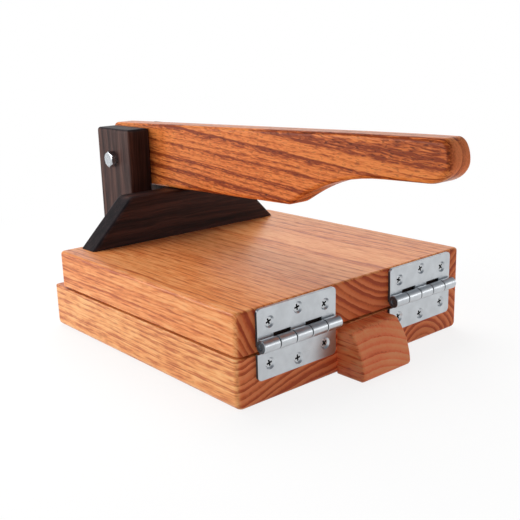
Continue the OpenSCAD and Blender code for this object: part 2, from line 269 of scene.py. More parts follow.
def bake_modifiers(obj):
    """Makes the mesh what the modifiers show, and drops them"""
    bpy.context.view_layer.update()
    shown = obj.evaluated_get(bpy.context.evaluated_depsgraph_get())
    mesh = bpy.data.meshes.new_from_object(shown)
    obj.modifiers.clear()
    obj.data = mesh


def smooth(obj):
    """Smooth shading over round edges, with flat faces kept flat"""
    for polygon in obj.data.polygons:
        polygon.use_smooth = True
    obj.data.set_sharp_from_angle(angle=SMOOTH_ANGLE)
    weighted = obj.modifiers.new("weighted", "WEIGHTED_NORMAL")
    weighted.keep_sharp = True
    bake_modifiers(obj)


def dress(obj, body, slot, material, *nodes):
    """Shades a piece, gives it its finish and lets it stand for its nodes"""
    smooth(obj)
    if not obj.data.materials:
        obj.data.materials.append(material)
    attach(obj, body)
    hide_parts(*nodes)


def clean_mesh(node):
    """A node's mesh with its split vertices merged"""
    bm = bmesh.new()
    bm.from_mesh(frame["nodes"][node].data)
    bmesh.ops.remove_doubles(bm, verts=bm.verts, dist=0.001 * MM)
    return bm


def solids(node):
    """(lowest corner, highest corner) of each separate solid in a node, by place"""
    bm = clean_mesh(node)
    left = set(bm.verts)
    boxes = []
    while left:
        front = [left.pop()]
        found = []
        while front:
            vert = front.pop()
            found.append(vert.co.copy())
            near = {edge.other_vert(vert) for edge in vert.link_edges} & left
            left -= near
            front.extend(near)
        low = Vector(min(p[i] for p in found) for i in range(3))
        high = Vector(max(p[i] for p in found) for i in range(3))
        boxes.append((low, high))
    bm.free()
    return sorted(boxes, key=lambda box: tuple(box[0]))


def left_outline(node):
    """The outer outline of a node's flat left side, as counter-clockwise (x, z) points"""
    bm = clean_mesh(node)
    side = {face for face in bm.faces if face.normal.y < -0.99}
    beside = {}
    for edge in bm.edges:
        if len(side.intersection(edge.link_faces)) == 1:
            for vert in edge.verts:
                beside.setdefault(vert, []).append(edge.other_vert(vert))
    start = min(beside, key=lambda vert: vert.co.x)
    loop = [start]
    following = beside[start][0]
    while following is not start:
        loop.append(following)
        following = next(v for v in beside[following] if v is not loop[-2])
    points = [Vector((vert.co.x, vert.co.z)) for vert in loop]
    bm.free()
    doubled_area = sum(points[i - 1].cross(p) for i, p in enumerate(points))
    return points if doubled_area > 0 else points[::-1]


# Materials

def paint(red, green, blue):
    """A colour given as it looks on a screen, 0 to 255, as linear light"""
    return tuple(((c / 255 + 0.055) / 1.055) ** 2.4 for c in (red, green, blue)) + (1.0,)


UPPER_OAK = (paint(250, 178, 116), paint(236, 146, 82), paint(188, 94, 48), paint(132, 58, 30))
LOWER_OAK = (paint(252, 190, 126), paint(240, 162, 98), paint(198, 110, 62), paint(142, 70, 38))
BLOCK_OAK = (paint(255, 168, 111), paint(255, 143, 88), paint(222, 100, 57), paint(140, 55, 32))
LEVER_OAK = (paint(233, 139, 71), paint(208, 110, 53), paint(140, 60, 26), paint(88, 36, 16))
# End grain tints, partly the end grain's own colour and partly painted light and shade: the board ends'
# tints are set to how dark the ends look in their shade, and the handle's tip and the stop block's front
# are brightened, red above 1, as painted light falling on them from the right
UPPER_END = (0.92, 0.56, 0.48, 1.0)
LOWER_END = (1.08, 0.65, 0.62, 1.0)
LEVER_END = (1.35, 1.4, 2.05, 1.0)
BLOCK_END = (1.18, 1.24, 1.41, 1.0)
# Lighter and darker copies of one walnut, as painted light and shade: the posts' is lighter to offset the
# lever's shade on their fronts, the bar's darker against the lamp on its front
POST_WALNUT = (paint(97, 69, 61), paint(67, 46, 42), paint(43, 30, 29))
BAR_WALNUT = (paint(78, 53, 48), paint(53, 35, 33), paint(33, 23, 23))
# Walnut end grain: darker, as its own colour, with a blue cast that is a painted reflection of the ends'
# bluish sheen
WALNUT_END = (0.34, 0.42, 0.56, 1.0)
# Painted shade: darkens steel faces that look along Y, the hinge knuckles' ends
STEEL_END_SHADE = (0.24, 0.28, 0.3, 1.0)
# Painted shade: near-black brown for the board's end behind the hinge barrels, where the knuckle slots lie
# in shade
SLOT_SHADE_PAINT = paint(38, 18, 12)
BIRCH = (paint(226, 200, 160), paint(196, 160, 112))

# Oak's grain: how far it bends in millimetres, over how many rings it drifts, fine lines in a ring,
# the widths of lines as shares of a ring, and how far the grain's pattern fades in end grain
SLOW_BEND = 6.4
QUICK_BEND = 1.6
DRIFT_RINGS = 2.2
FINE_LINES = 2.7
FINE_WIDTH = 0.5
BROAD_WIDTH = 0.85
END_FADE = 0.75

# Surfaces: roughness, what pores and cut ends add to it, the pores' share of a bump, the bumps' depths,
# and the index of refraction of the oil on walnut
OAK_ROUGH = 0.28
WALNUT_ROUGH = 0.42
BIRCH_ROUGH = 0.7
PORE_ROUGH = 0.15
END_ROUGH = 0.3
PORE_DEPTH = 0.8
OAK_BUMP = 0.12 * MM
WALNUT_BUMP = 0.1 * MM
BIRCH_BUMP = 0.05 * MM
STEEL_BUMP = 0.01 * MM
WALNUT_GLOSS = 1.2


class Nodes:
    """A node tree, filled by short calls whose values are numbers, tuples or sockets"""

    def __init__(self, tree):
        self.tree = tree

    def feed(self, socket, value):
        if isinstance(value, bpy.types.NodeSocket):
            self.tree.links.new(value, socket)
        else:
            socket.default_value = value

    def node(self, kind, output, inputs=(), **settings):
        made = self.tree.nodes.new("ShaderNode" + kind)
        for key, value in settings.items():
            setattr(made, key, value)
        for key, value in dict(inputs).items():
            self.feed(made.inputs[key], value)
        return made.outputs[output]

    def math(self, operation, *values):
        return self.node("Math", 0, enumerate(values), operation=operation)

    def vector(self, operation, *values):
        output = "Value" if operation == "LENGTH" else "Vector"
        return self.node("VectorMath", output, enumerate(values), operation=operation)

    def noise(self, place, stretch, detail=2.0, roughness=0.5, output="Fac"):
        """Noise with features about 1 / stretch long along each axis of place"""
        inputs = {
            "Vector": self.vector("MULTIPLY", place, stretch),
            "Scale": 1.0,
            "Detail": detail,
            "Roughness": roughness,
        }
        return self.node("TexNoise", output, inputs)

    def between(self, value, low, high):
        """0 to 1, as a value goes smoothly from one number to another"""
        inputs = {"Value": value, "From Min": low, "From Max": high}
        return self.node("MapRange", "Result", inputs, interpolation_type="SMOOTHSTEP")

    def ramp(self, value, stops):
        made = self.tree.nodes.new("ShaderNodeValToRGB")
        elements = made.color_ramp.elements
        while len(elements) < len(stops):
            elements.new(0.5)
        for element, (place, colour) in zip(elements, stops):
            element.position = place
            element.color = colour
        self.feed(made.inputs["Fac"], value)
        return made.outputs["Color"]

    def mix(self, share, first, second, blend="MIX"):
        made = self.tree.nodes.new("ShaderNodeMix")
        made.data_type = "RGBA"
        made.blend_type = blend
        self.feed(made.inputs["Factor"], share)
        self.feed(made.inputs[6], first)
        self.feed(made.inputs[7], second)
        return made.outputs[2]

    def seen_directly(self):
        """1 for rays from the camera and for mirror rays, 0 for soft light"""
        seen = self.node("LightPath", "Is Camera Ray")
        for kind in ("Is Glossy Ray", "Is Transmission Ray"):
            seen = self.math("MAXIMUM", seen, self.node("LightPath", kind))
        return seen


class Finish(Nodes):
    """A material with a Principled shader"""

    def __init__(self, name):
        self.material = bpy.data.materials.new(name)
        self.material.use_nodes = True
        super().__init__(self.material.node_tree)
        self.shader = self.tree.nodes["Principled BSDF"]
        self.object_place = self.node("TexCoord", "Object")

    def bump(self, height, depth, strength=1.0):
        inputs = {"Height": height, "Distance": depth, "Strength": strength}
        self.feed(self.shader.inputs["Normal"], self.node("Bump", "Normal", inputs))

    def set(self, **values):
        for key, value in values.items():
            self.feed(self.shader.inputs[key.replace("_", " ")], value)


def growth_lines(finish, count, width):
    """Dark porous wood at the start of each growth ring, uneven from ring to ring"""
    line = finish.ramp(finish.math("FRACT", count), [
        (0.0, (0.1, 0.1, 0.1, 1)),
        (0.16 * width, (1, 1, 1, 1)),
        (0.48 * width, (0.72, 0.72, 0.72, 1)),
        (width, (0.14, 0.14, 0.14, 1)),
        (1.0, (0, 0, 0, 1)),
    ])
    each = finish.node("TexWhiteNoise", "Value", {"W": finish.math("FLOOR", count)}, noise_dimensions="1D")
    return finish.math("MULTIPLY", line, finish.math("MULTIPLY_ADD", each, 0.5, 0.5))


def log_place(finish, heart, lean):
    """Millimetres from a log's heart line, which runs along X and leans by Euler angles"""
    return finish.node("Mapping", "Vector", {
        "Vector": finish.object_place,
        "Location": heart,
        "Rotation": lean,
        "Scale": (MM, MM, MM),
    }, vector_type="TEXTURE")


def inside_box(finish, low, high, soft):
    """1 inside a box between two corners and inside its mirror images, 0 outside, with soft sides"""
    place = finish.vector("ABSOLUTE", finish.object_place)
    share = 1.0
    for axis, start, end in zip("XYZ", low, high):
        along = finish.node("SeparateXYZ", axis, {0: place})
        share = finish.math("MULTIPLY", share, finish.between(along, start, start + soft))
        share = finish.math("MULTIPLY", share, finish.between(along, end, end - soft))
    return share


def oak(name, colours, end_tint, heart, ring, lean=(0, 0, 0), joint=None, first=0.0, drift=0.8, width=0.5,
        band=0.55, end_band=1.7, fine=0.35, fleck_size=(16, 1.5), fleck=1.5, dash_size=(7.7, 1.25),
        dash=0.3, gloss=1.34, shade_box=None):
    """Oiled red oak, with growth rings round a heart line.

    colours: light, middle, dark and pore; end_tint multiplies them on end grain, partly as the end grain's
    own colour and partly as painted light and shade on end faces
    heart, lean: a point on the heart line in metres, and the line's Euler angles away from X
    ring: a growth ring's thickness in millimetres
    joint: where across the board a second plank starts, and a point on that plank's heart line
    first, drift: where the rings' count starts, and how unevenly it grows
    width: the share of a ring that its dark line takes
    band, end_band, fine: how strong the rings are on the sides and in end grain, and the finer rings
    fleck_size, fleck: the flecks' length and width in millimetres, and their strength
    dash_size, dash: the same of the dark pores
    gloss: the oil's index of refraction
    shade_box: the corners of a box that is painted dark, as painted shade
    """
    finish = Finish(name)
    log = log_place(finish, heart, lean)
    if joint:
        across = finish.node("SeparateXYZ", "Y", {0: finish.object_place})
        start, second_heart = joint
        second_log = log_place(finish, second_heart, lean)
        log = finish.mix(finish.math("GREATER_THAN", across, start), log, second_log)

    # The grain wanders slowly, and shakes quickly, about the heart line
    centre = (0.5, 0.5, 0.5)
    slow = finish.vector("SUBTRACT", finish.noise(log, (0.005, 0.022, 0.022), 1.0, output="Color"), centre)
    quick = finish.vector("SUBTRACT", finish.noise(log, (0.03, 0.16, 0.16), 4.0, 0.6, "Color"), centre)
    bent = finish.vector("MULTIPLY_ADD", slow, (0, SLOW_BEND, SLOW_BEND), log)
    bent = finish.vector("MULTIPLY_ADD", quick, (0, QUICK_BEND, QUICK_BEND), bent)
    radius = finish.vector("LENGTH", finish.vector("MULTIPLY", bent, (0, 1, 1)))
    uneven_inputs = {"W": finish.math("DIVIDE", radius, DRIFT_RINGS * ring), "Scale": 1.0, "Detail": 1.0}
    uneven = finish.node("TexNoise", "Fac", uneven_inputs, noise_dimensions="1D")
    count = finish.math(
        "ADD", finish.math("DIVIDE", radius, ring), finish.math("MULTIPLY_ADD", uneven, drift, first))
    lines = growth_lines(finish, count, width)
    fine_lines = growth_lines(finish, finish.math("MULTIPLY", count, FINE_LINES), FINE_WIDTH)
    broad_lines = growth_lines(finish, count, BROAD_WIDTH)

    # Patterns along the grain: flecks, fibres, broad patches and dark pores
    long, wide = fleck_size
    flecks = finish.noise(bent, (1 / long, 1 / wide, 1 / wide), 2.0, 0.55)
    fibre = finish.noise(bent, (0.06, 0.9, 0.9), 2.0, 0.6)
    patch = finish.noise(log, (0.01, 0.04, 0.04), 2.0)
    long, wide = dash_size
    dashes = finish.between(finish.noise(log, (1 / long, 1 / wide, 1 / wide), 1.0), 0.57, 0.64)
    facing = finish.vector("MULTIPLY", finish.node("TexCoord", "Normal"), (1, 0, 0))
    end_grain = finish.between(finish.vector("LENGTH", facing), 0.5, 0.9)
    side_grain = finish.math("MULTIPLY_ADD", end_grain, -END_FADE, 1.0)
    pores = finish.math("MULTIPLY", dashes, finish.math("MULTIPLY_ADD", lines, 0.65, 0.35))
    pores = finish.math("MULTIPLY", pores, side_grain)

    # Each pattern shifts the tone to both sides of its own middle
    grain = 0.0
    for pattern, middle, strength in ((fine_lines, 0.28, fine), (flecks, 0.5, fleck), (fibre, 0.5, 0.9)):
        grain = finish.math("MULTIPLY_ADD", finish.math("SUBTRACT", pattern, middle), strength, grain)
    grain = finish.math("MULTIPLY", grain, side_grain)
    tone = 0.5
    for pattern, middle, strength in (
        (lines, 0.28, finish.math("MULTIPLY", side_grain, band)),
        (broad_lines, 0.35, finish.math("MULTIPLY", end_grain, end_band)),
        (patch, 0.5, 0.7),
        (grain, 0.0, 1.0),
    ):
        tone = finish.math("MULTIPLY_ADD", finish.math("SUBTRACT", pattern, middle), strength, tone)
    light, middle, dark, pore = colours
    colour = finish.ramp(tone, [(0.08, light), (0.5, middle), (0.95, dark)])
    colour = finish.mix(finish.math("MULTIPLY", pores, dash), colour, pore)
    # End grain tint: the end grain's own colour, partly painted light and shade
    colour = finish.mix(end_grain, colour, end_tint, "MULTIPLY")
    # Painted shade: the wood inside the box is painted near-black brown
    if shade_box:
        colour = finish.mix(inside_box(finish, *shade_box, SLOT_SHADE_EDGE), colour, SLOT_SHADE_PAINT)

    rough = finish.math("MULTIPLY_ADD", pores, PORE_ROUGH, OAK_ROUGH)
    rough = finish.math("MULTIPLY_ADD", end_grain, END_ROUGH, rough)
    finish.set(Base_Color=colour, Roughness=rough, IOR=gloss)
    height = finish.math("MULTIPLY_ADD", flecks, 0.5, finish.math("MULTIPLY", pores, -PORE_DEPTH))
    finish.bump(height, OAK_BUMP, 0.5)
    return finish.material


def walnut(name, colours, lean, grain_axis):
    """Oiled dark walnut with its grain along X turned by Euler angles, which brings it to the grain axis"""
    finish = Finish(name)
    log = finish.node("Mapping", "Vector", {
        "Vector": finish.object_place,
        "Rotation": lean,
        "Scale": (MM, MM, MM),
    }, vector_type="TEXTURE")
    bend = finish.noise(log, (0.01, 0.05, 0.05), 2.0, output="Color")
    bent = finish.vector("MULTIPLY_ADD", bend, (0, 14, 14), log)
    bands = finish.noise(bent, (0.006, 0.22, 0.22), 3.0, 0.55)
    fibre = finish.noise(bent, (0.02, 0.9, 0.9), 3.0, 0.6)
    pores = finish.between(finish.noise(log, (0.1, 1.8, 1.8), 1.0), 0.58, 0.7)
    tone = finish.math("ADD", finish.math("MULTIPLY", bands, 0.7), finish.math("MULTIPLY", fibre, 0.4))
    light, middle, dark = colours
    colour = finish.ramp(tone, [(0.42, dark), (0.55, middle), (0.7, light)])
    facing = finish.vector("MULTIPLY", finish.node("TexCoord", "Normal"), grain_axis)
    end_grain = finish.between(finish.vector("LENGTH", facing), 0.4, 0.7)
    # End grain darker, with a blue cast as painted sheen
    colour = finish.mix(end_grain, colour, WALNUT_END, "MULTIPLY")
    rough = finish.math("MULTIPLY_ADD", pores, PORE_ROUGH, WALNUT_ROUGH)
    finish.set(Base_Color=colour, Roughness=rough, IOR=WALNUT_GLOSS)
    height = finish.math("MULTIPLY_ADD", fibre, 0.4, finish.math("MULTIPLY", pores, -PORE_DEPTH))
    finish.bump(height, WALNUT_BUMP, 0.5)
    return finish.material


def birch(name):
    """Bare birch dowel rod"""
    finish = Finish(name)
    place = finish.vector("MULTIPLY", finish.object_place, (1 / MM, 1 / MM, 1 / MM))
    fibre = finish.noise(place, (0.5, 0.5, 0.5), 4.0, 0.6)
    light, dark = BIRCH
    colour = finish.ramp(fibre, [(0.3, light), (0.7, dark)])
    finish.set(Base_Color=colour, Roughness=BIRCH_ROUGH)
    finish.bump(fibre, BIRCH_BUMP)
    return finish.material


def steel(name, colour, roughness, brush, end_shade_tint=None):
    """Satin zinc-plated steel: faint clouds in its colour, and fine marks stretched by the brush's values.
    An end shade multiplies the colour of faces that look along Y, such as the knuckles' cut ends, as
    painted shade, and makes them rougher
    """
    finish = Finish(name)
    place = finish.vector("MULTIPLY", finish.object_place, (1 / MM, 1 / MM, 1 / MM))
    cloud = finish.noise(place, (0.12, 0.12, 0.12), 3.0, 0.6)
    marks = finish.noise(place, brush, 2.0, 0.6)
    bright = tuple(1.05 * c for c in colour[:3]) + (1,)
    dull = tuple(0.92 * c for c in colour[:3]) + (1,)
    shade = finish.mix(finish.between(cloud, 0.3, 0.7), dull, bright)
    rough = finish.math("MULTIPLY_ADD", marks, 0.12, roughness - 0.06)
    if end_shade_tint:
        # Painted shade on faces along Y, which are also rougher
        facing = finish.vector("MULTIPLY", finish.node("TexCoord", "Normal"), (0, 1, 0))
        y_faces = finish.between(finish.vector("LENGTH", facing), 0.8, 0.95)
        shade = finish.mix(y_faces, shade, end_shade_tint, "MULTIPLY")
        rough = finish.math("MULTIPLY_ADD", y_faces, END_ROUGH, rough)
    finish.set(Base_Color=shade, Metallic=1.0, Roughness=rough)
    finish.bump(marks, STEEL_BUMP, 0.5)
    return finish.material


leaf_low, leaf_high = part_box("right_hinge_upper_leaf")
# A box on the upper board's end behind the barrels, painted dark as shade in the knuckle slots
slot_shade_box = (
    leaf_low + Vector((-SLOT_SHADE_DEPTH, 0, SLOT_SHADE_START)),
    Vector((leaf_low.x + SLOT_SHADE_DEPTH, leaf_high.y, leaf_low.z + SLOT_SHADE_END)))
upper_oak = oak("upper_oak", UPPER_OAK, UPPER_END, (0, 0.040, 0.118), 4.8, shade_box=slot_shade_box)
lower_oak = oak(
    "lower_oak", LOWER_OAK, LOWER_END, (0, 0.030, -0.380), 4.6, joint=(0.035, (0, 0.062, -0.012)),
    fleck_size=(14, 1.9), fleck=1.9)
block_oak = oak(
    "block_oak", BLOCK_OAK, BLOCK_END, (0, -0.012, -0.050), 4.5, band=0.8, end_band=0.4, fleck_size=(8, 2),
    dash=0.5)
lever_oak = oak(
    "lever_oak", LEVER_OAK, LEVER_END, (0, -0.0245, 0.156), 9.0, lean=(0, math.radians(4.1), 0),
    first=-0.02, drift=0.5, width=0.42, band=0.95, end_band=0.2, fine=0.5, fleck_size=(7, 0.95), fleck=1.8,
    dash_size=(5, 1.0), dash=0.9, gloss=1.22)
upright_walnut = walnut("upright_walnut", POST_WALNUT, (0, math.radians(90), 0), (0, 0, 1))
bar_walnut = walnut("bar_walnut", BAR_WALNUT, (0, 0, math.radians(90)), (0, 1, 0))
dowel_birch = birch("dowel_birch")
hinge_steel = steel("hinge_steel", paint(190, 194, 198), 0.3, (0.4, 0.03, 1.6), STEEL_END_SHADE)
screw_steel = steel("screw_steel", paint(194, 197, 200), 0.34, (0.9, 0.9, 0.9))
# Painted shade: near-black steel for the faces inside the screws' cross recesses
recess_shade_steel = steel("recess_shade_steel", paint(34, 34, 36), 0.6, (0.9, 0.9, 0.9))
bolt_steel = steel("bolt_steel", paint(176, 180, 184), 0.28, (0.9, 0.9, 0.9))


# Wooden pieces

def block_rings(low, high, corner_radii, bottom_r, top_r):
    """Rings up a block with rounded corners and edges"""
    rings = []
    for z, inset in edge_levels(low.z, high.z, bottom_r, top_r):
        radii = [max(r - inset, LEAST_R) for r in corner_radii]
        points = rounded_rectangle(low.x + inset, high.x - inset, low.y + inset, high.y - inset, radii)
        rings.append([(x, y, z) for x, y in points])
    return rings


def rod(start, end, r):
    """A cylinder between two points"""
    along = end - start
    turn = along.to_track_quat("Z", "Y").to_matrix().to_4x4()
    return placed(loft([circle(r, 0), circle(r, along.length)]), Matrix.Translation(start) @ turn)


def rod_holes(node, axis):
    """Holes for a node's dowels or screws, which lie along one axis"""
    holes = []
    for low, high in solids(node):
        r = (high.y - low.y) / 2
        if "screws" in node:
            r *= SHANK_SHARE
        middle = (low + high) / 2
        start, end = middle.copy(), middle.copy()
        start[axis], end[axis] = low[axis] - BORE_CLEARANCE, high[axis] + BORE_CLEARANCE
        holes.append(rod(start, end, r + BORE_CLEARANCE))
    return holes


joint_place = {joint["name"]: Vector(joint["pos_m"]) for joint in frame["joints"]}
pivot = joint_place["lever_pivot"]
hinge_axis = joint_place["upper_board_hinge"]


# The corner at the left hinge is worn rounder than the other three
BOARD_CORNERS = (NEAR_CORNER_R, BOARD_CORNER_R, BOARD_CORNER_R, BOARD_CORNER_R)


def make_lower_board():
    """The lower board, held back at the seam, with holes for its fixings"""
    low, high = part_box("lower_board")
    high.z -= SEAM_RELIEF
    board = plain_object(
        "lower_board_wood", loft(block_rings(low, high, BOARD_CORNERS, FOOT_EDGE_R, SEAM_EDGE_R)))
    fixings = ("stop_block_dowels", "left_lower_leaf_screws", "right_lower_leaf_screws", "left_post_screws",
               "right_post_screws")
    combine(board, "DIFFERENCE", *[joined(*rod_holes(node, 0)) for node in fixings])
    dress(board, "base", "board_oak", lower_oak, "lower_board")


def make_upper_board():
    """The upper board, held back at the seam, with holes for its fixings"""
    low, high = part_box("upper_board")
    low.z += SEAM_RELIEF
    board = plain_object(
        "upper_board_wood", loft(block_rings(low, high, BOARD_CORNERS, SEAM_EDGE_R, TOP_EDGE_R)))
    combine(board, "DIFFERENCE", joined(*rod_holes("bearing_bar_dowels", 2)))
    screws = ("left_upper_leaf_screws", "right_upper_leaf_screws")
    combine(board, "DIFFERENCE", *[joined(*rod_holes(node, 0)) for node in screws])
    dress(board, "upper_board", "board_oak", upper_oak, "upper_board")


make_lower_board()
make_upper_board()


def make_stop_block():
    """A block whose front leans back in an arc between its rounded foot and its rounded top"""
    low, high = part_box("stop_block")
    height = high.z - low.z
    top_x = max(v.co.x for v in frame["nodes"]["stop_block"].data.vertices if v.co.z > high.z - LEAST_R)
    drop = high.x - top_x
    front_r = (height ** 2 + drop ** 2) / (2 * drop)
    arc_x = high.x - front_r
    foot_x = arc_x + math.sqrt((front_r - BLOCK_FOOT_R) ** 2 - BLOCK_FOOT_R ** 2)
    brow_x = arc_x + math.sqrt((front_r - BLOCK_TOP_R) ** 2 - (height - BLOCK_TOP_R) ** 2)
    foot_turn = math.atan2(BLOCK_FOOT_R, foot_x - arc_x)
    brow_turn = math.atan2(height - BLOCK_TOP_R, brow_x - arc_x)
    arcs = (
        (foot_x, low.z + BLOCK_FOOT_R, BLOCK_FOOT_R, -math.pi / 2, foot_turn),
        (arc_x, low.z, front_r, foot_turn, brow_turn),
        (brow_x, high.z - BLOCK_TOP_R, BLOCK_TOP_R, brow_turn, math.pi / 2),
    )
    outline = [Vector((low.x, low.z))]
    for x, z, r, start, end in arcs:
        for k in range(1, EDGE_STEPS + 1):
            turn = start + (end - start) * k / EDGE_STEPS
            outline.append(Vector((x + r * math.cos(turn), z + r * math.sin(turn))))
    outline.append(Vector((low.x, high.z)))
    rings = []
    for y, inset in edge_levels(low.y, high.y, BLOCK_EDGE_R, BLOCK_EDGE_R):
        moved = inset_outline(outline, inset)
        moved[0].x = moved[-1].x = low.x
        rings.append([(p.x, y, p.y) for p in moved])
    block = plain_object("stop_block_wood", loft(rings))
    combine(block, "DIFFERENCE", joined(*rod_holes("stop_block_dowels", 0)))
    dress(block, "base", "board_oak", block_oak, "stop_block")


make_stop_block()


def sunk_holes(node, outwards):
    """Countersunk holes for a node's screws, whose heads face outwards along X"""
    holes = []
    for low, high in solids(node):
        head_r = (high.y - low.y) / 2
        shank_r = head_r * SHANK_SHARE
        hole = loft([
            circle(shank_r, low.x - high.x),
            circle(shank_r, shank_r - head_r),
            circle(head_r, 0),
            circle(head_r, SCREW_SINK),
        ])
        holes.append(placed(hole, head_place(low, high, outwards)))
    return holes


def head_place(low, high, outwards):
    """Where a screw's head is: its Z looks outwards along X"""
    middle = (low + high) / 2
    head = Vector((high.x if outwards > 0 else low.x, middle.y, middle.z))
    return Matrix.Translation(head) @ Vector((outwards, 0, 0)).to_track_quat("Z", "Y").to_matrix().to_4x4()


def make_post(name, node, screws):
    """A post with a bore for the pivot bolt and countersunk holes for its screws"""
    low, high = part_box(node)
    radii = (POST_INNER_R, POST_INNER_R, POST_OUTER_R, POST_OUTER_R)
    post = plain_object(name, loft(block_rings(low, high, radii, SEAM_EDGE_R, POST_TOP_R)))
    start = Vector((pivot.x, low.y - LEAST_R, pivot.z))
    end = Vector((pivot.x, high.y + LEAST_R, pivot.z))
    combine(post, "DIFFERENCE", rod(start, end, BOLT_R + BORE_CLEARANCE), joined(*sunk_holes(screws, -1)))
    dress(post, "base", "dark_walnut", upright_walnut, node)


make_post("left_post_wood", "left_post", "left_post_screws")
make_post("right_post_wood", "right_post", "right_post_screws")


def make_bearing_bar():
    """A bar whose ends slope in at 45 degrees, flat underneath"""
    low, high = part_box("bearing_bar")
    rings = []
    for z, inset in edge_levels(low.z, high.z, LEAST_R, BAR_TOP_R):
        end_inset = inset + z - low.z
        radii = [max(BAR_CORNER_R - inset, LEAST_R)] * 4
        points = rounded_rectangle(
            low.x + inset, high.x - inset, low.y + end_inset, high.y - end_inset, radii)
        rings.append([(x, y, z) for x, y in points])
    bar = plain_object("bearing_bar_wood", loft(rings))
    combine(bar, "DIFFERENCE", joined(*rod_holes("bearing_bar_dowels", 2)))
    dress(bar, "upper_board", "dark_walnut", bar_walnut, "bearing_bar")


make_bearing_bar()


def make_lever():
    """The lever's own side outline, with its edges rounded over, most of all at the handle's tip"""
    low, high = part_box("lever")
    outline = left_outline("lever")
    columns = []
    for point, inner in zip(outline, inset_outline(outline, 1)):
        tip_share = max(0, 1 - (high.x - point.x) / TIP_EDGE_L)
        r = LEVER_EDGE_R + (TIP_EDGE_R - LEVER_EDGE_R) * tip_share
        column = []
        for y, inset in edge_levels(low.y, high.y, r, r):
            moved = point + (inner - point) * inset
            column.append((moved.x, y, moved.y))
        columns.append(column)
    rings = [list(ring) for ring in zip(*columns)]
    lever = plain_object("lever_wood", loft(rings))
    start = Vector((pivot.x, low.y - LEAST_R, pivot.z))
    end = Vector((pivot.x, high.y + LEAST_R, pivot.z))
    combine(lever, "DIFFERENCE", rod(start, end, LEVER_BORE_R))
    dress(lever, "lever", "lever_oak", lever_oak, "lever")


make_lever()

for node in ("stop_block_dowels", "bearing_bar_dowels"):
    frame["nodes"][node].data.materials.clear()
    frame["nodes"][node].data.materials.append(dowel_birch)


# Metal pieces

def plus(wing, half, z):
    """A ring round a plus sign"""
    quarter = [(wing, -half), (wing, half), (half, half)]
    points = []
    for turn in range(4):
        for x, y in quarter:
            for _ in range(turn):
                x, y = -y, x
            points.append((x, y, z))
    return points


def screw(head_r, shank_r, length, turn):
    """A countersunk Phillips screw down -Z, with its head just below the origin and its recess turned"""
    top = -SCREW_SINK
    rim_r = head_r - SCREW_SINK - BORE_CLEARANCE
    neck = -NECK_SHARE * length
    thread_d = 2 * shank_r
    point_l = POINT_SHARE * thread_d
    rings = [circle(BLUNT_SHARE * shank_r, -length)]
    rings += thread(CORE_SHARE * shank_r, shank_r, -length + point_l, neck, PITCH_SHARE * thread_d)
    rings += [circle(shank_r, neck + SCREW_RIM), circle(shank_r, shank_r - head_r)]
    rings += [circle(rim_r, top - SCREW_RIM), circle(rim_r, top - RIM_EDGE_H)]
    rings.append(circle(rim_r - RIM_EDGE_W, top))
    made = plain_object("screw", loft(rings))
    wing, half = WING_SHARE * rim_r, HALF_SHARE * rim_r
    recess_floor = plus(FLOOR_WING_SHARE * wing, FLOOR_HALF_SHARE * half, top - RECESS_SHARE * rim_r)
    cross = loft([recess_floor, plus(wing, half, top + RIM_EDGE_H)])
    combine(made, "DIFFERENCE", placed(cross, Matrix.Rotation(turn, 4, "Z")))
    bm = bmesh.new()
    bm.from_mesh(made.data)
    bpy.data.objects.remove(made)
    # Faces inside the cross recess take the second finish, painted dark as shade
    for face in bm.faces:
        middle = face.calc_center_median()
        within = middle.xy.length < RECESS_REACH * wing
        face.material_index = int(within and top - rim_r < middle.z < top - RIM_EDGE_H / 2)
    return bm


def make_screws(name, node, body, outwards, chance):
    """The screws of a node, with their heads outwards along X"""
    made = []
    for low, high in solids(node):
        head_r = (high.y - low.y) / 2
        bm = screw(head_r, head_r * SHANK_SHARE, high.x - low.x, chance.uniform(0, math.pi / 2))
        made.append(placed(bm, head_place(low, high, outwards)))
    screws = plain_object(name, joined(*made))
    screws.data.materials.append(screw_steel)
    screws.data.materials.append(recess_shade_steel)
    dress(screws, body, "screw_steel", screw_steel, node)


chance = random.Random(4)
for side in ("left", "right"):
    make_screws(f"{side}_upper_hinge_screws", f"{side}_upper_leaf_screws", "upper_board", 1, chance)
    make_screws(f"{side}_lower_hinge_screws", f"{side}_lower_leaf_screws", "base", 1, chance)
    make_screws(f"{side}_post_wood_screws", f"{side}_post_screws", "base", -1, chance)


def along_y(axis, start):
    """Where a piece made along Z is to lie: along Y on an axis, from a start"""
    return Matrix.Translation((axis.x, start, axis.z)) @ Matrix.Rotation(-math.pi / 2, 4, "X")


def leaf_outline(length, width, slot_depth, own):
    """Outline of a leaf along X, with its knuckle edge at 0 and slots for the other leaf's knuckles"""
    pitch = length / KNUCKLES
    points = []
    for i in range(KNUCKLES):
        reach = -KNUCKLE_GAP / 2 if i in own else KNUCKLE_GAP / 2
        start = max(-length / 2, -length / 2 + i * pitch - reach)
        end = min(length / 2, -length / 2 + (i + 1) * pitch + reach)
        level = 0 if i in own else slot_depth
        points += [(start, level), (end, level)]
    for centre_x, start in ((length / 2 - LEAF_CORNER_R, 0), (-length / 2 + LEAF_CORNER_R, 90)):
        for k in range(CORNER_STEPS + 1):
            angle = math.radians(start + 90 * k / CORNER_STEPS)
            points.append((
                centre_x + LEAF_CORNER_R * math.cos(angle),
                width - LEAF_CORNER_R + LEAF_CORNER_R * math.sin(angle)))
    return [Vector(p) for p in points]


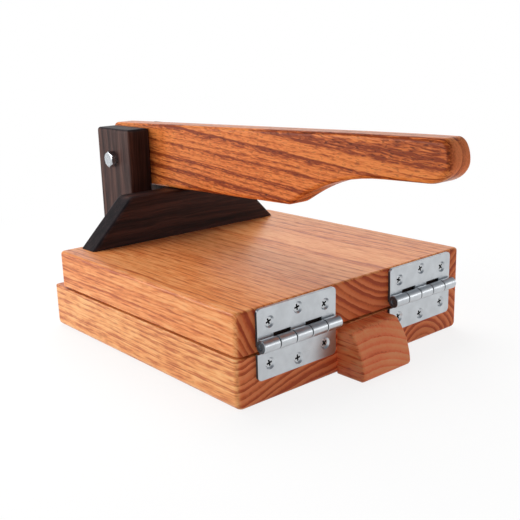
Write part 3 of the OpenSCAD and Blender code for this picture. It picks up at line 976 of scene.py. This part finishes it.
def make_leaf(name, node, screws, body, up, own):
    """A leaf with countersunk holes and its own knuckles, by number from the left.
    It runs up from the hinge axis for 1 and down for -1
    """
    low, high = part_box(node)
    centre_y = (low.y + high.y) / 2
    length = high.y - low.y
    barrel_r = high.x - hinge_axis.x
    width = high.z - hinge_axis.z if up > 0 else hinge_axis.z - low.z
    front_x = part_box(screws)[1].x
    outline = leaf_outline(length, width, barrel_r + SLOT_GAP, own)
    rings = []
    for x, inset in edge_levels(low.x, front_x, LEAF_EDGE_R, LEAF_EDGE_R):
        rings.append([(x, centre_y + p.x, hinge_axis.z + up * p.y) for p in inset_outline(outline, inset)])
    leaf = plain_object(name, loft(rings))
    combine(leaf, "DIFFERENCE", joined(*sunk_holes(screws, 1)))
    pitch = length / KNUCKLES
    for i in own:
        start = centre_y - length / 2 + i * pitch + KNUCKLE_GAP / 2
        tube = []
        levels = edge_levels(0, pitch - KNUCKLE_GAP, KNUCKLE_EDGE_R, KNUCKLE_EDGE_R)
        for z, inset in levels:
            tube.append(circle(barrel_r - inset, z))
        bore_r = PIN_R + BORE_CLEARANCE
        tube += [circle(bore_r, levels[-1][0]), circle(bore_r, levels[0][0])]
        combine(leaf, "UNION", placed(loft(tube, closed=True), along_y(hinge_axis, start)))
    dress(leaf, body, "hinge_steel", hinge_steel, node)


def make_pin(name, node):
    """A hinge pin with a round head at its right end"""
    low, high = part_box(node)
    head_r = (high.z - low.z) / 2
    length = high.y - low.y
    neck = length - PIN_HEAD_H
    rings = [circle(PIN_R - PIN_CHAMFER, 0), circle(PIN_R, PIN_CHAMFER), circle(PIN_R, neck)]
    for k in range(EDGE_STEPS):
        angle = math.pi / 2 * k / EDGE_STEPS
        rings.append(circle(head_r * math.cos(angle), neck + PIN_HEAD_H * math.sin(angle)))
    pin = plain_object(name, placed(loft(rings), along_y(hinge_axis, low.y)))
    dress(pin, "upper_board", "hinge_steel", hinge_steel, node)


for side in ("left", "right"):
    upper_screws, lower_screws = f"{side}_upper_leaf_screws", f"{side}_lower_leaf_screws"
    upper_leaf, lower_leaf = f"{side}_hinge_upper_leaf", f"{side}_hinge_lower_leaf"
    make_leaf(f"{side}_hinge_top_leaf", upper_leaf, upper_screws, "upper_board", 1, (0, 2, 4))
    make_leaf(f"{side}_hinge_foot_leaf", lower_leaf, lower_screws, "base", -1, (1, 3))
    make_pin(f"{side}_hinge_rod", f"{side}_hinge_pin")


def make_bolt():
    """The pivot bolt: a chamfered hexagon head with a shallow dish on the left, a thread at the far end"""
    low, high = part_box("pivot_bolt")
    across = high.x - low.x
    head_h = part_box("left_post")[0].y - low.y
    length = high.y - low.y
    flat_r = HEX_FLAT_SHARE * across
    thread_end = -length + BOLT_THREAD_L
    rings = [circle(BOLT_END_SHARE * BOLT_R, -length)]
    rings.append(circle(BOLT_START_SHARE * BOLT_R, -length + BOLT_CHAMFER_H))
    rings += thread(BOLT_CORE_SHARE * BOLT_R, BOLT_R, -length + BOLT_THREAD_START, thread_end, BOLT_PITCH)
    rings += [circle(BOLT_R, thread_end + BOLT_RUN_OUT), circle(BOLT_R, -head_h)]
    rings += [hexagon(across, -head_h), hexagon(across, 0, flat_r)]
    rings += [circle(flat_r, 0), circle(flat_r - DISH_RIM, 0), circle(DISH_SHARE * flat_r, -DISH_DEPTH)]
    matrix = Matrix.Translation((pivot.x, low.y, pivot.z)) @ Matrix.Rotation(math.pi / 2, 4, "X")
    bolt = plain_object("pivot_hex_bolt", placed(loft(rings), matrix))
    dress(bolt, "base", "bolt_steel", bolt_steel, "pivot_bolt")


def make_washer():
    """The flat washer under the nut"""
    low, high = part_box("pivot_washer")
    outer_r = (high.x - low.x) / 2
    height = high.y - low.y
    levels = edge_levels(0, height, WASHER_EDGE_R, WASHER_EDGE_R)
    rings = [circle(outer_r - inset, z) for z, inset in levels]
    bore_r = BOLT_R + BORE_CLEARANCE
    rings += [circle(bore_r, height), circle(bore_r, 0)]
    washer = plain_object("pivot_flat_washer", placed(loft(rings, closed=True), along_y(pivot, low.y)))
    dress(washer, "base", "bolt_steel", bolt_steel, "pivot_washer")


def make_nut():
    """The hexagon nut, chamfered on both faces"""
    low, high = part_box("pivot_nut")
    across = high.z - low.z
    height = high.y - low.y
    flat_r = HEX_FLAT_SHARE * across
    bore_r = BOLT_R + BORE_CLEARANCE
    rings = [circle(bore_r, height), circle(bore_r, 0), circle(flat_r, 0)]
    rings.append([(x, y, -z) for x, y, z in hexagon(across, 0, flat_r)])
    rings += [hexagon(across, height, flat_r), circle(flat_r, height)]
    nut = plain_object("pivot_hex_nut", placed(loft(rings, closed=True), along_y(pivot, low.y)))
    dress(nut, "base", "bolt_steel", bolt_steel, "pivot_nut")


make_bolt()
make_washer()
make_nut()


# Stage, light and camera, in metres

FLOOR_R = 6
FLOOR_DROP = 0.2 * MM
FADE_START = 0.15
FADE_END = 0.5
FLOOR_WHITE = (0.86, 0.86, 0.86, 1)
FLOOR_GREY = (0.2, 0.2, 0.2, 1)
FLOOR_GLOW = 0.84
SKY_WHITE = (1, 1, 1, 1)
SKY_TOP = (0.2, 0.22, 0.25, 1)
SKY_LIGHT = 0.22
LAMP_AIM = Vector((0, 0, 0.06))


def make_floor():
    """A pale floor that fades to white away from the press, and keeps its shadow"""
    bm = bmesh.new()
    bmesh.ops.create_circle(bm, cap_ends=True, segments=2 * ROUND, radius=FLOOR_R)
    floor = plain_object("floor", bm)
    floor.location.z = -FLOOR_DROP
    finish = Finish("floor_white")
    finish.set(Base_Color=FLOOR_WHITE, Roughness=0.9, Specular_IOR_Level=0.0)
    distance = finish.vector("LENGTH", finish.object_place)
    far = finish.between(distance, FADE_START, FADE_END)
    paper = finish.node("BsdfDiffuse", "BSDF", {"Color": FLOOR_GREY})
    glow = finish.node("Emission", "Emission", {"Strength": FLOOR_GLOW})
    near_white = finish.node("AddShader", 0, {0: paper, 1: glow})
    white = finish.node("Emission", "Emission", {"Strength": 1.0})
    shown = finish.node("MixShader", 0, {0: far, 1: near_white, 2: white})
    plain = finish.shader.outputs[0]
    surface = finish.node("MixShader", 0, {0: finish.seen_directly(), 1: plain, 2: shown})
    finish.feed(finish.tree.nodes["Material Output"].inputs["Surface"], surface)
    floor.data.materials.append(finish.material)


def make_world():
    """White to the camera and in mirrors, greyer towards the ceiling, with plain soft light"""
    world = bpy.data.worlds.new("studio")
    scene.world = world
    world.use_nodes = True
    nodes = Nodes(world.node_tree)
    soft = world.node_tree.nodes["Background"]
    nodes.feed(soft.inputs["Color"], SKY_WHITE)
    nodes.feed(soft.inputs["Strength"], SKY_LIGHT)
    height = nodes.node("SeparateXYZ", "Z", {0: nodes.node("TexCoord", "Generated")})
    ceiling = nodes.between(height, 0.25, 0.75)
    seen = nodes.mix(ceiling, SKY_WHITE, SKY_TOP)
    white = nodes.node("Background", 0, {"Color": seen})
    surface = nodes.node("MixShader", 0, {0: nodes.seen_directly(), 1: soft.outputs[0], 2: white})
    nodes.feed(world.node_tree.nodes["World Output"].inputs["Surface"], surface)


def make_lamp(name, place, size, watts):
    """A rectangular lamp that looks at the press"""
    light = bpy.data.lights.new(name, "AREA")
    light.shape = "RECTANGLE"
    light.size, light.size_y = size
    light.energy = watts
    lamp = bpy.data.objects.new(name, light)
    lamp.location = place
    lamp.rotation_euler = (LAMP_AIM - Vector(place)).to_track_quat("-Z", "Y").to_euler()
    scene.collection.objects.link(lamp)
    return lamp


def make_camera():
    """The photograph's camera"""
    a, e, r = (math.radians(angle) for angle in (AZIMUTH, ELEVATION, ROLL))
    backwards = Vector((math.sin(a) * math.cos(e), -math.cos(a) * math.cos(e), math.sin(e)))
    level_right = Vector((math.cos(a), math.sin(a), 0))
    level_up = backwards.cross(level_right)
    right = math.cos(r) * level_right + math.sin(r) * level_up
    up = backwards.cross(right)
    data = bpy.data.cameras.new("camera")
    data.sensor_width = SENSOR_MM
    data.lens = FOCAL_WIDTHS * SENSOR_MM
    data.clip_start = 0.01
    camera = bpy.data.objects.new("camera", data)
    camera.matrix_world = Matrix.Translation(EYE) @ Matrix((right, up, backwards)).transposed().to_4x4()
    scene.collection.objects.link(camera)
    scene.camera = camera


make_floor()
make_world()
make_lamp("key", place=(-0.9, -1.4, 0.45), size=(1.4, 0.9), watts=20)
make_lamp("strip", place=(1.17, 1.0, 0.36), size=(1.2, 0.24), watts=1.9)
top_lamp = make_lamp("top", place=(-0.9, 0.35, 1.3), size=(1.4, 1.4), watts=19)
top_lamp.visible_glossy = False
make_camera()
scene.view_settings.view_transform = "Standard"
